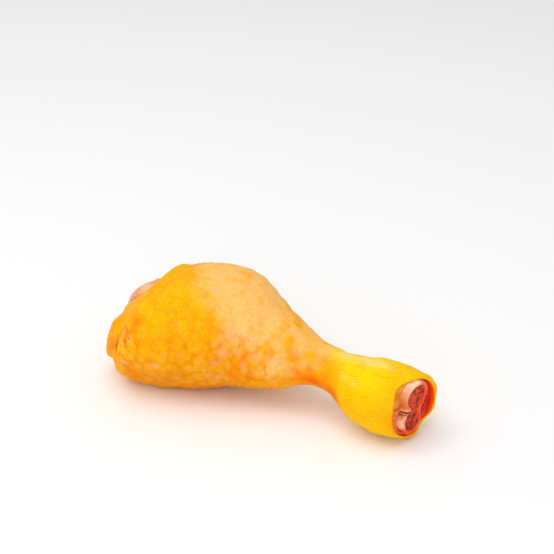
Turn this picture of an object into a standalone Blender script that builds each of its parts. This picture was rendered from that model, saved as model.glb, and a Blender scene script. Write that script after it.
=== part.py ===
"""Chicken drumstick with its yellow skin on: skin sleeve, flesh, leg bone and red core.

Metres, Z up, resting on the floor at Z = 0. The knee end is at -X and the cut ankle at +X.
The sizes below are in millimetres.
"""
import math

import bpy
import bmesh
import numpy as np

MM = 0.001

# Middle of the leg's sections at the knee and at the ankle
KNEE = np.array([-52.6, 3.4, 27.0])
ANKLE = np.array([63.0, 3.6, 13.2])

# Stations of the skin: distance along the leg, reach upwards, downwards, to the near side
# (-Y) and to the far side (+Y), then how far a section leans forward with height and with
# distance to the far side
SKIN_STATIONS = (
    (-3.0, 4.5, 15.0, 14.0, 12.5, 0.38, 0.00),
    (-2.8, 5.4, 19.0, 18.5, 14.8, 0.38, 0.00),
    (-1.7, 6.4, 22.9, 22.9, 16.4, 0.38, 0.00),
    (0.4, 10.2, 25.8, 25.8, 17.6, 0.37, 0.00),
    (3.0, 17.0, 26.6, 26.7, 18.2, 0.32, 0.00),
    (8.8, 19.8, 30.7, 31.2, 19.2, 0.26, 0.00),
    (16.0, 22.2, 29.9, 30.9, 21.2, 0.15, 0.00),
    (25.0, 24.3, 27.5, 28.4, 23.0, 0.05, 0.00),
    (35.0, 25.7, 23.2, 24.0, 24.5, 0.00, 0.00),
    (45.0, 23.3, 18.8, 19.5, 22.3, 0.00, 0.00),
    (55.0, 17.9, 15.5, 16.1, 17.1, 0.00, 0.00),
    (65.0, 13.5, 11.5, 11.9, 13.0, 0.00, 0.00),
    (74.0, 10.1, 7.5, 7.9, 9.7, 0.00, 0.00),
    (83.0, 9.5, 7.1, 7.5, 9.2, 0.00, 0.02),
    (92.0, 10.7, 11.6, 12.0, 10.6, 0.00, 0.05),
    (103.0, 12.8, 14.0, 14.4, 12.5, -0.05, 0.15),
    (114.5, 12.3, 12.7, 13.0, 12.5, -0.11, 0.25),
)
SKIN_RINGS = 40
SKIN_SIDES = 34
SKIN_THICKNESS = 1.4

# A nick in the ankle lip, low on the far side
NICK_DEPTH = 1.6
NICK_TURN = math.radians(303.0)
NICK_WIDTH = math.radians(18.0)

# The mouth of the skin is set back on the far side, where the head of the bone comes out
MOUTH_SETBACK = 9.5
MOUTH_SETBACK_TURN = math.radians(35.0)

# Half the height of the fillet between a side and the flat that rests on the floor
FLOOR_EASE = 0.6

# Flesh inside the skin, with a small gap all round
GAP = 0.3
FLESH_GAP = 0.4
FLESH_RINGS = 26
FLESH_SIDES = 34
FLESH_END = 107.0
FLESH_END_LEAN = 0.5
# How far in front of the middle of the bone's head the flesh meets it
FLESH_FACE = 5.5
MOUTH_ROOM = 0.6

# Bone: middle of its round head and of its cut ankle end
BONE_HEAD = np.array([-51.0, 3.1, 23.8])
BONE_CUT = np.array([63.0, 2.2, 13.1])
CUT_LEAN = 0.27
HEAD_RADIUS = 10.2
SHAFT_RADIUS = 3.8
# How far the shaft bows to the far side and upwards halfway along
BONE_BOW = (2.6, 2.6)
# Distances along the bone where the head, the shaft and the ankle knuckles begin and end
HEAD_NECK = 26.0
KNUCKLE_NECK = 94.0
KNUCKLE_FULL = 109.0
# The cut end has two knuckles side by side, the upper one on the far side
UPPER_KNUCKLE = 5.5
LOWER_KNUCKLE = 4.8
KNUCKLE_WAIST = 3.9
KNUCKLE_TURN = math.radians(72.0)
BONE_RINGS = 30
BONE_SIDES = 26

# Red core of the bone, open to the cut
BONE_WALL = 1.5
CORE_START = 8.0
CORE_SINK = 0.2
CORE_RINGS = 22
CORE_SIDES = 24


def curve(knots, values, at):
    """Smooth cubic through the values at the knots, read at each place in at."""
    knots = np.asarray(knots, float)
    values = np.asarray(values, float)
    slope = np.gradient(values, knots)
    i = np.clip(np.searchsorted(knots, at, side="right") - 1, 0, len(knots) - 2)
    h = knots[i + 1] - knots[i]
    t = (at - knots[i]) / h
    start = (2 * t**3 - 3 * t**2 + 1) * values[i] + (t**3 - 2 * t**2 + t) * h * slope[i]
    end = (3 * t**2 - 2 * t**3) * values[i + 1] + (t**3 - t**2) * h * slope[i + 1]
    return start + end


def ease(t):
    """Smooth step from 0 to 1."""
    t = np.clip(t, 0.0, 1.0)
    return t * t * (3.0 - 2.0 * t)


def frame_of(start, end):
    """Unit vectors along a piece, to its far side and upwards."""
    along = (end - start) / np.linalg.norm(end - start)
    side = np.array([0.0, 1.0, 0.0]) - along * along[1]
    side /= np.linalg.norm(side)
    return along, side, np.cross(along, side)


def skin_points(rings, sides):
    """Outer face of the skin as a grid of rings from the mouth at the knee to the ankle lip."""
    rows = np.array(SKIN_STATIONS)
    reach = rows[:, 1:5].mean(axis=1)
    steps = np.hypot(np.diff(rows[:, 0]), np.diff(reach))
    knots = np.concatenate([[0.0], np.cumsum(steps)])
    turn = np.linspace(0.0, 2.0 * math.pi, sides, endpoint=False)[None, :]
    # where the mouth is set back, every ring starts later along the stations
    begins = MOUTH_SETBACK * ease(0.5 + 0.5 * np.cos(turn - MOUTH_SETBACK_TURN))
    share = np.linspace(0.0, 1.0, rings)[:, None]
    at = begins + share * (knots[-1] - begins)
    along, up, down, near, far, lean_up, lean_far = (curve(knots, rows[:, k], at) for k in range(7))
    y = np.where(np.cos(turn) > 0, far, near) * np.cos(turn)
    z = np.where(np.sin(turn) > 0, up, down) * np.sin(turn)
    a = along + lean_up * z + lean_far * y
    nick = NICK_DEPTH * np.exp(-(((turn - NICK_TURN) / NICK_WIDTH) ** 2))
    a = a - nick * ease((along - 104.0) / 10.0)
    axis, side, upward = frame_of(KNEE, ANKLE)
    points = KNEE + a[..., None] * axis + y[..., None] * side + z[..., None] * upward
    # the side runs onto the floor with a small fillet
    height = points[..., 2]
    eased = (height + FLOOR_EASE) ** 2 / (4.0 * FLOOR_EASE)
    on_floor = np.where(height < -FLOOR_EASE, 0.0, eased)
    points[..., 2] = np.where(height > FLOOR_EASE, height, on_floor)
    return points


def inset(points, depth):
    """The grid moved inwards along its normals. The depth is one number or one for each ring."""
    along = np.gradient(points, axis=0)
    round_ = np.roll(points, -1, axis=1) - np.roll(points, 1, axis=1)
    normal = np.cross(round_, along)
    normal /= np.linalg.norm(normal, axis=-1, keepdims=True)
    return points - np.reshape(depth, (-1, 1, 1)) * normal


def bone_points(rings, sides, start, wall):
    """Rings of the bone from start to its cut, with every section drawn in by wall."""
    length = np.linalg.norm(BONE_CUT - BONE_HEAD)
    # the rings stand closer on the rounded head
    share = np.linspace(0.0, 1.0, rings)
    at = start + (length - start) * share**1.35
    turn = np.linspace(0.0, 2.0 * math.pi, sides, endpoint=False)[None, :]
    head = np.sqrt(np.maximum(HEAD_RADIUS**2 - np.minimum(at, 0.0) ** 2, 0.0))
    head = np.maximum(head - wall, 0.0)
    shaft = SHAFT_RADIUS - wall
    round_part = shaft + (head - shaft) * (1.0 - ease((at - 2.0) / (HEAD_NECK - 2.0)))
    c = np.cos(turn - KNUCKLE_TURN)
    lobe = 2.0 * np.where(c > 0, UPPER_KNUCKLE, LOWER_KNUCKLE) * np.abs(c)
    knuckles = (lobe**6 + KNUCKLE_WAIST**6) ** (1.0 / 6.0) - wall
    opened = ease((at - KNUCKLE_NECK) / (KNUCKLE_FULL - KNUCKLE_NECK))[:, None]
    radius = round_part[:, None] * (1.0 - opened) + knuckles * opened
    axis, side, upward = frame_of(BONE_HEAD, BONE_CUT)
    halfway = np.clip(4.0 * at * (length - at) / length**2, 0.0, 1.0)[:, None]
    y = radius * np.cos(turn) + BONE_BOW[0] * halfway
    z = radius * np.sin(turn) + BONE_BOW[1] * halfway
    # the cut slants, so the sections lean more and more towards it
    lean = CUT_LEAN * ease((at - KNUCKLE_NECK) / (length - KNUCKLE_NECK))[:, None]
    a = at[:, None] + lean * radius * np.cos(turn)
    return BONE_HEAD + a[..., None] * axis + y[..., None] * side + z[..., None] * upward


def material(name, colour, roughness):
    """Principled material with one colour and roughness."""
    made = bpy.data.materials.new(name)
    made.use_nodes = True
    shader = made.node_tree.nodes["Principled BSDF"]
    shader.inputs["Base Color"].default_value = (*colour, 1.0)
    shader.inputs["Roughness"].default_value = roughness
    return made


def loft(name, points, closed, finish=None):
    """Object made of a grid of rings. A closed one has a face over its first and last ring."""
    rings, sides = points.shape[:2]
    mesh = bmesh.new()
    verts = [[mesh.verts.new(p * MM) for p in ring] for ring in points]
    for i in range(rings - 1):
        for j in range(sides):
            k = (j + 1) % sides
            mesh.faces.new((verts[i][j], verts[i + 1][j], verts[i + 1][k]))
            mesh.faces.new((verts[i][j], verts[i + 1][k], verts[i][k]))
    if closed:
        mesh.faces.new(verts[0])
        mesh.faces.new(verts[-1][::-1])
    bmesh.ops.recalc_face_normals(mesh, faces=mesh.faces)
    for face in mesh.faces:
        face.smooth = True
    data = bpy.data.meshes.new(name)
    mesh.to_mesh(data)
    mesh.free()
    obj = bpy.data.objects.new(name, data)
    bpy.context.scene.collection.objects.link(obj)
    if finish:
        data.materials.append(finish)
    return obj


def cut_with(obj, name, cutter):
    """Takes the cutter's shape out of obj."""
    cutter.hide_render = True
    cutter.display_type = "WIRE"
    cut = obj.modifiers.new(name, "BOOLEAN")
    cut.operation = "DIFFERENCE"
    cut.solver = "EXACT"
    cut.object = cutter


def make_skin():
    """Sleeve of skin, open at the knee and at the ankle."""
    obj = loft("skin", skin_points(SKIN_RINGS, SKIN_SIDES), False,
               material("yellow_skin", (0.95, 0.60, 0.10), 0.45))
    wall = obj.modifiers.new("thickness", "SOLIDIFY")
    wall.thickness = SKIN_THICKNESS * MM
    wall.offset = -1.0
    wall.use_rim = True
    return obj


def make_flesh():
    """Flesh that fills the skin round the bone."""
    # the folded edge of the skin leaves the flesh a little more room at the mouth
    room = MOUTH_ROOM * (1.0 - ease(np.linspace(0.0, 4.0, FLESH_RINGS * 2)))
    outer = inset(skin_points(FLESH_RINGS * 2, FLESH_SIDES), SKIN_THICKNESS + FLESH_GAP + room)
    axis, side, upward = frame_of(KNEE, ANKLE)
    rel = outer - KNEE
    # at the ankle the flesh ends inside the sleeve, further out on the far side
    along = rel @ axis - FLESH_END_LEAN * (rel @ side)
    spread = np.linspace(0.0, 1.0, FLESH_RINGS)
    body = np.empty((FLESH_RINGS, FLESH_SIDES, 3))
    for j in range(FLESH_SIDES):
        stop = np.interp(FLESH_END, along[:, j], np.arange(len(outer)))
        place = spread * stop
        for k in range(3):
            body[:, j, k] = np.interp(place, np.arange(len(outer)), outer[:, j, k])
    # the face at the knee, from its middle out to the mouth
    middle = BONE_HEAD - FLESH_FACE * axis
    face = [middle + (body[0] - middle) * share for share in (0.12, 0.45, 0.78)]
    points = np.concatenate([np.array(face), body])
    obj = loft("flesh", points, True, material("raw_flesh", (0.72, 0.16, 0.10), 0.40))
    round_bone = bone_points(BONE_RINGS, BONE_SIDES, -HEAD_RADIUS * 0.98, -GAP)
    beyond = round_bone[-1] + 12.0 * frame_of(BONE_HEAD, BONE_CUT)[0]
    cutter = loft("bone_channel", np.concatenate([round_bone, beyond[None]]), True)
    cut_with(obj, "channel", cutter)
    return obj


def make_bone():
    """Leg bone with its round head, narrow shaft and cut knuckles, hollow for the core."""
    outer = bone_points(BONE_RINGS, BONE_SIDES, -HEAD_RADIUS * 0.98, 0.0)
    obj = loft("bone", outer, True, material("pale_cartilage", (0.90, 0.66, 0.52), 0.35))
    hollow = bone_points(CORE_RINGS, CORE_SIDES, CORE_START, BONE_WALL)
    beyond = hollow[-1] + 3.0 * frame_of(BONE_HEAD, BONE_CUT)[0]
    cutter = loft("core_channel", np.concatenate([hollow, beyond[None]]), True)
    cut_with(obj, "hollow", cutter)
    return obj


def make_core():
    """Red spongy core, which shows in the two knuckles where the ankle is cut."""
    points = bone_points(CORE_RINGS, CORE_SIDES, CORE_START, BONE_WALL + GAP)
    axis = frame_of(BONE_HEAD, BONE_CUT)[0]
    points[0] += GAP * axis
    points[-1] -= CORE_SINK * axis
    return loft("core", points, True, material("red_core", (0.45, 0.07, 0.05), 0.50))


def main():
    """Builds the drumstick."""
    for obj in list(bpy.data.objects):
        bpy.data.objects.remove(obj, do_unlink=True)
    make_skin()
    make_flesh()
    make_bone()
    make_core()


main()
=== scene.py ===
"""Looks for a raw chicken drumstick with its yellow skin on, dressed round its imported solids.

Sizes are in millimetres, as in the part's source, and meshes are written in metres. A place on
the leg is given by its distance along the leg from the knee, and by its turn round the leg in
degrees: 0 is the far side, 90 the top, 180 the side near the camera and 270 the underside.
"""
import logging
import math
from collections.abc import Iterable
from dataclasses import dataclass
from enum import Enum
from typing import Any

import bpy
import numpy as np
from mathutils import Matrix


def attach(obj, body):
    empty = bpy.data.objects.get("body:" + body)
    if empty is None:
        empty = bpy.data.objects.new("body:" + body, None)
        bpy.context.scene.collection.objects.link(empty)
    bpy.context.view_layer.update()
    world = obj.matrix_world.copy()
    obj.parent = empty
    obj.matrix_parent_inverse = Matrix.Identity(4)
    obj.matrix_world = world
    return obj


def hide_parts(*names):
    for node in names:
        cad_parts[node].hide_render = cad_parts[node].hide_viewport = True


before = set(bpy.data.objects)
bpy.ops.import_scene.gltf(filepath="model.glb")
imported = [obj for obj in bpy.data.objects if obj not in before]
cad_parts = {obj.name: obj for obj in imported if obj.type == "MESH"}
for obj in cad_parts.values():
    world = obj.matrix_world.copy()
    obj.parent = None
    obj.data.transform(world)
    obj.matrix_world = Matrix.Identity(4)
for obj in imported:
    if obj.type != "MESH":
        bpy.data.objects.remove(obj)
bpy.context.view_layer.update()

log = logging.getLogger("drumstick")

MM = 0.001
TAU = 2.0 * math.pi
LAYER_SHIFT = 17.3
Array = np.ndarray
Tint = tuple[int, int, int]


def ease(t: Array) -> Array:
    """Smooth step from 0 to 1: 3t^2 - 2t^3 on t kept between 0 and 1."""
    t = np.clip(t, 0.0, 1.0)
    return t * t * (3.0 - 2.0 * t)


def between(value: Array, low: float, high: float, soft: float) -> Array:
    """1 between low and high, falling smoothly to 0 within soft outside them."""
    return ease((value - low) / soft + 1.0) * ease((high - value) / soft + 1.0)


def curve(knots: Array, values: Array, at: Array) -> Array:
    """Smooth cubic through the values at the knots.

    Each stretch is a Hermite cubic whose end slopes are the finite differences of the values.

    Args:
        knots: rising places of the values.
        values: the value at each knot.
        at: places to read, of any shape.

    Returns:
        The value at each place.
    """
    slope = np.gradient(values, knots)
    i = np.clip(np.searchsorted(knots, at, side="right") - 1, 0, len(knots) - 2)
    h = knots[i + 1] - knots[i]
    t = (at - knots[i]) / h
    start = (2 * t**3 - 3 * t**2 + 1) * values[i] + (t**3 - 2 * t**2 + t) * h * slope[i]
    end = (3 * t**2 - 2 * t**3) * values[i + 1] + (t**3 - t**2) * h * slope[i + 1]
    return start + end


def turns(sides: int) -> Array:
    """The turn of each side of a ring, in radians, as one row."""
    return np.linspace(0.0, TAU, sides, endpoint=False)[None, :]


def away(turn: Array, degrees: float) -> Array:
    """How far each turn is from one in degrees, in radians from -pi to pi."""
    return (turn - math.radians(degrees) + math.pi) % TAU - math.pi


def hump(off: Array, degrees: float, power: int = 2) -> Array:
    """1 where an angle off, in radians, is 0, and exp(-(off / degrees)^power) beside it."""
    return np.exp(-((off / math.radians(degrees)) ** power))


def mixed(cell: Array, seed: int) -> Array:
    """A fixed pseudo-random number for each cell, by an integer hash.

    Args:
        cell: whole numbers of the cells, three each.
        seed: picks the pattern.

    Returns:
        A number from 0 to 1 for each.
    """
    words = cell.astype(np.int64).astype(np.uint32)
    h = words[..., 0] * np.uint32(0x8DA6B343) ^ words[..., 1] * np.uint32(0xD8163841)
    h = h ^ words[..., 2] * np.uint32(0xCB1AB31F) ^ np.uint32((seed * 0x9E3779B1) & 0xFFFFFFFF)
    h = (h ^ (h >> np.uint32(13))) * np.uint32(0x5BD1E995)
    h = (h ^ (h >> np.uint32(15))) * np.uint32(0x2C1B3C6D)
    h = h ^ (h >> np.uint32(12))
    return h / 2.0**32


def noise(points: Array, size: float, seed: int, layers: int = 1) -> Array:
    """Smooth noise from -1 to 1: hashed values at the corners of cells, blended by ease.

    Args:
        points: places, with x, y and z last, in millimetres.
        size: side of a cell of the first layer.
        seed: picks the pattern.
        layers: how many layers are added, each half the size and half the strength.

    Returns:
        The noise at each point.
    """
    total = np.zeros(points.shape[:-1])
    weight = 0.0
    for layer in range(layers):
        q = points * (2.0**layer / size) + LAYER_SHIFT * layer
        cell = np.floor(q)
        part = ease(q - cell)
        value = np.zeros(points.shape[:-1])
        for corner in np.ndindex(2, 2, 2):
            near = np.where(np.array(corner) == 1, part, 1.0 - part).prod(axis=-1)
            value += near * mixed(cell + np.array(corner), seed + layer)
        total += (2.0 * value - 1.0) * 0.5**layer
        weight += 0.5**layer
    return total / weight


def cells(points: Array, size: float, seed: int) -> tuple[Array, Array]:
    """Cell noise: the distance to the nearest of one jittered seed point in each cell.

    Args:
        points: places, with x, y and z last, in millimetres.
        size: side of a cell.
        seed: picks the pattern.

    Returns:
        The distance over size, and a random number of the nearest seed point.
    """
    q = points / size
    home = np.floor(q)
    best = np.full(points.shape[:-1], np.inf)
    owner = np.zeros(points.shape[:-1])
    for step in np.ndindex(3, 3, 3):
        cell = home + np.array(step) - 1
        spot = cell + np.stack([mixed(cell, seed + k) for k in range(3)], axis=-1)
        far = np.linalg.norm(q - spot, axis=-1)
        closer = far < best
        best = np.where(closer, far, best)
        owner = np.where(closer, mixed(cell, seed + 3), owner)
    return best, owner


@dataclass(frozen=True)
class Line:
    """A straight middle line with its own directions along, to the far side and upwards."""

    start: tuple[float, float, float]
    end: tuple[float, float, float]

    def axes(self) -> tuple[Array, Array, Array]:
        """The line's own directions, of which the second is level.

        Returns:
            Unit vectors along the line, to its far side and upwards.
        """
        along = np.subtract(self.end, self.start)
        along = along / np.linalg.norm(along)
        side = np.array([0.0, 1.0, 0.0]) - along * along[1]
        side = side / np.linalg.norm(side)
        return along, side, np.cross(along, side)

    def length(self) -> float:
        """Distance from the start to the end."""
        return float(np.linalg.norm(np.subtract(self.end, self.start)))

    def at(self, along: Array, side: Array, up: Array) -> Array:
        """Points at those distances along the line, to its far side and upwards."""
        a, s, u = self.axes()
        return self.start + along[..., None] * a + side[..., None] * s + up[..., None] * u

    def places(self, points: Array) -> tuple[Array, Array, Array]:
        """Each point's distances along the line, to its far side and upwards."""
        return tuple((points - np.array(self.start)) @ axis for axis in self.axes())


@dataclass
class Sheet:
    """A grid of points: rings by sides, with each point's place on the leg."""

    points: Array
    along: Array
    turn: Array

    def normals(self) -> Array:
        """Directions out of the grid: the cross product of its differences round and along.

        Returns:
            A unit normal at each point.
        """
        lengthways = np.gradient(self.points, axis=0)
        crossways = np.roll(self.points, -1, axis=1) - np.roll(self.points, 1, axis=1)
        normal = np.cross(crossways, lengthways)
        return normal / np.maximum(np.linalg.norm(normal, axis=-1, keepdims=True), 1e-9)

    def moved(self, depth: Array) -> "Sheet":
        """The sheet moved out along its normals by depth."""
        shift = np.broadcast_to(depth, self.along.shape)[..., None] * self.normals()
        return Sheet(self.points + shift, self.along, self.turn)

    def part(self, rings: Any) -> "Sheet":
        """Some of the rings."""
        return Sheet(self.points[rings], self.along[rings], self.turn[rings])

    def holding(self, points: Array) -> "Sheet":
        """A grid of other points, which all take the places of this sheet's one ring."""
        shape = points.shape[:2]
        return Sheet(points, np.broadcast_to(self.along, shape), np.broadcast_to(self.turn, shape))

    @staticmethod
    def joined(sheets: list["Sheet"]) -> "Sheet":
        """Sheets one after the other along the leg."""
        return Sheet(*(np.concatenate([getattr(s, k) for s in sheets]) for k in ("points", "along", "turn")))


def rim(outside: Sheet, inside: Sheet, bulge: Array, rings: int) -> Sheet:
    """Rounded rim between two facing rings.

    Each ring is the middle of the pair plus the half gap times the cosine of an angle, plus the
    bulge times its sine, for angles from 0 to pi.

    Args:
        outside: the ring that it starts from.
        inside: the ring that it ends at.
        bulge: how far it reaches past them, as a vector for each side or one for all.
        rings: rings between them.

    Returns:
        The rings between.
    """
    angle = np.linspace(0.0, math.pi, rings + 2)[1:-1, None, None]
    middle = 0.5 * (outside.points + inside.points)
    half = 0.5 * (outside.points - inside.points)
    return outside.holding(middle + half * np.cos(angle) + bulge * np.sin(angle))


@dataclass(frozen=True)
class LegForm:
    """Form of the leg. The sizes are those of the CAD model's source.

    A station holds the distance along the leg, the reach upwards, downwards, to the near side
    and to the far side, and how far the section leans forward with height and towards the far
    side.
    """

    middle: Line = Line((-52.6, 3.4, 27.0), (63.0, 3.6, 13.2))
    stations: tuple[tuple[float, ...], ...] = (
        (-3.0, 4.5, 15.0, 14.0, 12.5, 0.38, 0.00),
        (-2.8, 5.4, 19.0, 18.5, 14.8, 0.38, 0.00),
        (-1.7, 6.4, 22.9, 22.9, 16.4, 0.38, 0.00),
        (0.4, 10.2, 25.8, 25.8, 17.6, 0.37, 0.00),
        (3.0, 17.0, 26.6, 26.7, 18.2, 0.32, 0.00),
        (8.8, 19.8, 30.7, 31.2, 19.2, 0.26, 0.00),
        (16.0, 22.2, 29.9, 30.9, 21.2, 0.15, 0.00),
        (25.0, 24.3, 27.5, 28.4, 23.0, 0.05, 0.00),
        (35.0, 25.7, 23.2, 24.0, 24.5, 0.00, 0.00),
        (45.0, 23.3, 18.8, 19.5, 22.3, 0.00, 0.00),
        (55.0, 17.9, 15.5, 16.1, 17.1, 0.00, 0.00),
        (65.0, 13.5, 11.5, 11.9, 13.0, 0.00, 0.00),
        (74.0, 10.1, 7.5, 7.9, 9.7, 0.00, 0.00),
        (83.0, 9.5, 7.1, 7.5, 9.2, 0.00, 0.02),
        (92.0, 10.7, 11.6, 12.0, 10.6, 0.00, 0.05),
        (103.0, 12.8, 14.0, 14.4, 12.5, -0.05, 0.15),
        (114.5, 12.3, 12.7, 13.0, 12.5, -0.11, 0.25),
    )
    mouth_setback: float = 9.5
    mouth_setback_turn: float = 35.0
    notches: tuple[tuple[float, float, float], ...] = ((1.6, 303.0, 18.0), (2.4, 122.0, 26.0))
    dips: tuple[tuple[float, float, float], ...] = ((0.9, 103.0, 15.0), (1.8, 165.0, 20.0))
    dips_end: float = 13.0
    lip_start: float = 104.0
    lip_depth: float = 0.5
    lip_turn: float = 25.0
    floor_ease: float = 0.6

    def sheet(self, rings: int, sides: int) -> Sheet:
        """Outer face of the skin.

        Every ring is two pairs of half ellipses, whose four reaches run along the stations as
        smooth cubics over the distance that the reach itself covers. The rings lean with the
        stations, start later where the mouth is set back, sink in by dips at the mouth and are
        cut back by notches at the ankle, both of (depth, turn, width), and run onto the floor
        with a small fillet.

        Args:
            rings: rings from the mouth to the ankle lip.
            sides: points in a ring.

        Returns:
            The grid.
        """
        rows = np.array(self.stations)
        steps = np.hypot(np.diff(rows[:, 0]), np.diff(rows[:, 1:5].mean(axis=1)))
        knots = np.concatenate([[0.0], np.cumsum(steps)])
        turn = turns(sides)
        begins = self.mouth_setback * ease(0.5 + 0.5 * np.cos(away(turn, self.mouth_setback_turn)))
        at = begins + np.linspace(0.0, 1.0, rings)[:, None] * (knots[-1] - begins)
        along, up, down, near, far, lean_up, lean_far = (curve(knots, rows[:, k], at) for k in range(7))
        y = np.where(np.cos(turn) > 0, far, near) * np.cos(turn)
        z = np.where(np.sin(turn) > 0, up, down) * np.sin(turn)
        notch, dip = (sum(depth * hump(away(turn, place), wide) for depth, place, wide in hollows)
                      for hollows in (self.notches, self.dips))
        kept = 1.0 - dip * ease((self.dips_end - along) / 8.0) / np.maximum(np.hypot(y, z), 1.0)
        y, z = y * kept, z * kept
        a = along + lean_up * z + lean_far * y - notch * self.at_ankle(along, 10.0)
        points = self.middle.at(a, y, z)
        points[..., 2] = self.on_floor(points[..., 2])
        return Sheet(points, a, np.broadcast_to(turn, a.shape))

    def at_ankle(self, along: Array, length: float) -> Array:
        """0 up to the start of the ankle's lip, rising smoothly to 1 over that length."""
        return ease((along - self.lip_start) / length)

    def lip_hollow(self, sheet: Sheet) -> Array:
        """How far the lining and the flesh are drawn in behind the lip, most at its far side."""
        far_side = 0.5 + 0.5 * np.cos(away(sheet.turn, self.lip_turn))
        return self.lip_depth * self.at_ankle(sheet.along, 8.0) * far_side

    def on_floor(self, height: Array) -> Array:
        """Lays what is below the floor on it, over a parabola of half height floor_ease.

        Args:
            height: heights over the floor.

        Returns:
            Heights of 0 and over.
        """
        eased = (height + self.floor_ease) ** 2 / (4.0 * self.floor_ease)
        low = np.where(height < -self.floor_ease, 0.0, eased)
        return np.where(height > self.floor_ease, height, low)


@dataclass(frozen=True)
class BoneForm:
    """Form of the leg bone: a round head, a bowed shaft and two cut knuckles."""

    middle: Line = Line((-51.0, 3.1, 23.8), (63.0, 2.2, 13.1))
    head_radius: float = 10.2
    shaft_radius: float = 3.8
    bow: float = 2.6
    head_neck: float = 26.0
    knuckle_neck: float = 94.0
    knuckle_full: float = 109.0
    upper_knuckle: float = 5.5
    lower_knuckle: float = 4.8
    knuckle_waist: float = 3.9
    knuckle_turn: float = 72.0
    cut_lean: float = 0.27
    upper_setback: float = 2.0
    hollow_waist: float = 2.9
    near_swell: float = 0.7

    def reach(self, at: Array, turn: Array, wall: float) -> Array:
        """Reach of the bone from its middle line, less the wall.

        The head is a sphere that eases into the shaft's radius. At the ankle the section turns
        into two circles side by side: twice a knuckle's radius times the cosine of the turn from
        it, joined to the round waist between them as a sixth-power sum. The waist of the hollow
        is narrower.

        Args:
            at: distance along the bone.
            turn: turn round it, in radians.
            wall: how far in the surface is drawn.

        Returns:
            The distance from the middle line.
        """
        head = np.sqrt(np.maximum(self.head_radius**2 - np.minimum(at, 0.0) ** 2, 0.0))
        head = np.maximum(head - wall, 0.0)
        shaft = self.shaft_radius - wall
        plain = shaft + (head - shaft) * (1.0 - ease((at - 2.0) / (self.head_neck - 2.0)))
        c = np.cos(away(turn, self.knuckle_turn))
        lobe = 2.0 * np.where(c > 0, self.upper_knuckle, self.lower_knuckle) * np.abs(c)
        waist = self.hollow_waist if wall > 0.0 else self.knuckle_waist
        knuckles = (lobe**6 + waist**6) ** (1.0 / 6.0) - wall
        opened = ease((at - self.knuckle_neck) / (self.knuckle_full - self.knuckle_neck))
        return plain * (1.0 - opened) + knuckles * opened

    def sheet(self, at: Array, sides: int, wall: float = 0.0, share: Array | None = None) -> Sheet:
        """Rings round the bone.

        The cut leans with the far side, and its upper knuckle is set back.

        Args:
            at: distance of each ring along the bone.
            sides: points in a ring.
            wall: how far in the rings are drawn.
            share: what part of its reach each ring keeps, for the rings of a cap.

        Returns:
            The grid.
        """
        turn = turns(sides)
        at = at[:, None]
        radius = self.reach(at, turn, wall)
        if share is not None:
            radius = radius * share[:, None]
        length = self.middle.length()
        halfway = self.bow * np.clip(4.0 * at * (length - at) / length**2, 0.0, 1.0)
        y = radius * np.cos(turn)
        opened = ease((at - self.knuckle_neck) / (length - self.knuckle_neck))
        z = radius * np.sin(turn)
        a = at + opened * (self.cut_lean * y - self.upper_setback * ease((z + 7.0) / 12.0))
        points = self.middle.at(a, y + halfway, z + halfway)
        return Sheet(points, np.broadcast_to(at, radius.shape), np.broadcast_to(turn, radius.shape))


class Ends(Enum):
    """How a grid of rings is closed."""

    POLES = "a point past the first ring and one past the last"
    LOOP = "the last ring joined to the first"


def make_piece(name: str, sheet: Sheet, ends: Ends, fields: dict[str, Array]) -> bpy.types.Object:
    """Mesh object of a grid of rings, with number fields on its points.

    Args:
        name: name of the piece.
        sheet: its grid, in millimetres.
        ends: how the grid is closed.
        fields: an array of the grid's shape for each point attribute.

    Returns:
        The object, smooth shaded, at the origin.
    """
    rings, sides = sheet.along.shape
    points = sheet.points.reshape(-1, 3)
    ring = np.arange(rings if ends is Ends.LOOP else rings - 1)
    i, j = np.meshgrid(ring, np.arange(sides), indexing="ij")
    after, beside = (i + 1) % rings, (j + 1) % sides
    quads = np.stack([i * sides + j, after * sides + j, after * sides + beside, i * sides + beside], -1)
    quads = quads.reshape(-1, 4)
    faces = quads.tolist()
    if ends is Ends.POLES:
        first, last = len(points), len(points) + 1
        points = np.concatenate([points, [sheet.points[0].mean(0)], [sheet.points[-1].mean(0)]])
        k = np.arange(sides)
        start = np.stack([np.full(sides, first), k, (k + 1) % sides], -1)
        end = np.stack([np.full(sides, last), (rings - 1) * sides + (k + 1) % sides,
                        (rings - 1) * sides + k], -1)
        faces += start.tolist() + end.tolist()
    mesh = bpy.data.meshes.new(name)
    mesh.from_pydata((points * MM).tolist(), [], faces)
    for field, values in fields.items():
        flat = np.zeros(len(points))
        flat[: values.size] = values.reshape(-1)
        if ends is Ends.POLES:
            flat[-2:] = values[0].mean(), values[-1].mean()
        mesh.attributes.new(field, "FLOAT", "POINT").data.foreach_set("value", flat)
    mesh.polygons.foreach_set("use_smooth", np.ones(len(mesh.polygons), bool))
    mesh.update()
    piece = bpy.data.objects.new(name, mesh)
    bpy.context.scene.collection.objects.link(piece)
    return piece


def place_piece(piece: bpy.types.Object, node: str, material: bpy.types.Material) -> None:
    """Dresses a piece and lets it stand for its CAD node, with that node's body.

    Args:
        piece: the piece.
        node: name of the node.
        material: the piece's only material.
    """
    piece.data.materials.append(material)
    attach(piece, "root")
    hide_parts(node)
    log.info("%s: %d faces", piece.name, len(piece.data.polygons))


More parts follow.
